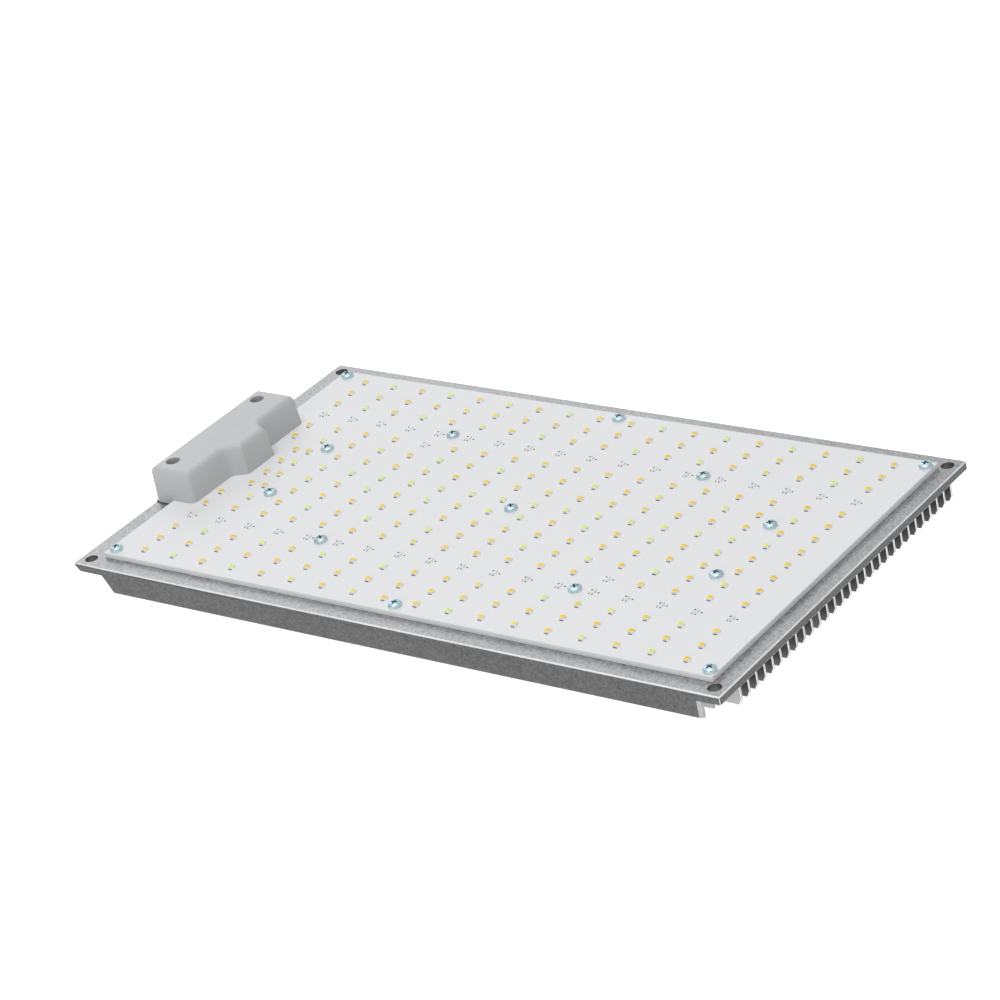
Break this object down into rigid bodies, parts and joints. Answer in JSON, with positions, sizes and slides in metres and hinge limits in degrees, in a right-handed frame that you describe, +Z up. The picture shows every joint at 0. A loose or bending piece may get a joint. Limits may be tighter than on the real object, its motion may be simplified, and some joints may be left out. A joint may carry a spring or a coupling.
{
  "type": "led grow light",
  "caption": "Flat LED grow light: finned aluminium plate, white LED board, wire cover on one edge and a rear driver with dimmer knob.",
  "frame": {"origin": "centre of the footprint, on the surface that the driver stands on", "axes": "+X along the plate's long side, away from the wire cover; +Y along its short side; +Z up, out of the LED face"},
  "size_m": [0.3, 0.169, 0.0625],
  "materials": {
    "plate_aluminium": "fine hammered mill finish, satin",
    "pad_grey": "soft matt silicone",
    "board_white": "satin white solder mask",
    "led_warm": "warm phosphor in a white package",
    "led_cool": "pale phosphor in a white package",
    "led_clear": "clear package with small dark dies",
    "screw_zinc": "bright blue-white zinc",
    "plated_steel": "zinc plated",
    "terminal_green": "moulded",
    "cover_grey": "fine satin moulding",
    "rubber_black": "matt",
    "cable_black": "satin sheath",
    "lead_red": "silicone insulation",
    "lead_green": "vinyl insulation",
    "case_aluminium": "extruded, satin anodised",
    "cap_grey": "fine textured powder coat",
    "board_green": "solder mask",
    "sheet_fishpaper": "smooth card",
    "ferrite": "matt ferrite",
    "copper": "enamelled wire",
    "capacitor_sleeve": "shrink sleeve",
    "capacitor_yellow": "moulded",
    "fuse_ceramic": "glazed",
    "package_black": "epoxy",
    "nylon_black": "moulded nylon",
    "knob_black": "fluted moulding"
  },
  "bodies": {
    "light": {"heatsink": "plate_aluminium", "thermal_pad": "pad_grey", "led_board": "board_white", "warm_leds": "led_warm", "cool_leds": "led_cool", "clear_leds": "led_clear", "board_screws": "screw_zinc", "terminal_block": "terminal_green", "terminal_clamps": "plated_steel", "terminal_screws": "plated_steel", "wire_cover": "cover_grey", "cover_gasket": "rubber_black", "cover_screws": "plated_steel", "cable_grommet": "rubber_black", "output_cable": "cable_black", "positive_lead": "lead_red", "negative_lead": "cable_black", "driver_case": "case_aluminium", "output_end_cap": "cap_grey", "mains_end_cap": "cap_grey", "output_cap_gasket": "rubber_black", "mains_cap_gasket": "rubber_black", "end_cap_screws": "plated_steel", "driver_brackets": "plated_steel", "bracket_screws": "plated_steel", "bracket_nuts": "plated_steel", "driver_screws": "plated_steel", "driver_circuit_board": "board_green", "insulating_sheet": "sheet_fishpaper", "transformer_core": "ferrite", "transformer_winding": "copper", "electrolytic_capacitors": "capacitor_sleeve", "mains_choke": "copper", "film_capacitor": "capacitor_yellow", "fuse": "fuse_ceramic", "power_transistors": "package_black", "heat_spreader": "case_aluminium", "output_gland": "nylon_black", "output_gland_nut": "nylon_black", "mains_gland": "nylon_black", "mains_gland_nut": "nylon_black", "mains_terminal": "terminal_green", "output_leads": "lead_red", "dimmer_leads": "lead_green", "dimmer_potentiometer": "plated_steel", "dimmer_nut": "plated_steel"},
    "dimmer": {"dimmer_shaft": "plated_steel", "dimmer_knob": "knob_black"}
  },
  "joints": [
    {"name": "dimmer_turn", "type": "hinge", "parent": "light", "child": "dimmer", "pos_m": [0.085, 0.015, 0.017], "axis": [1, 0, 0], "range_deg": [-150, 150]}
  ]
}
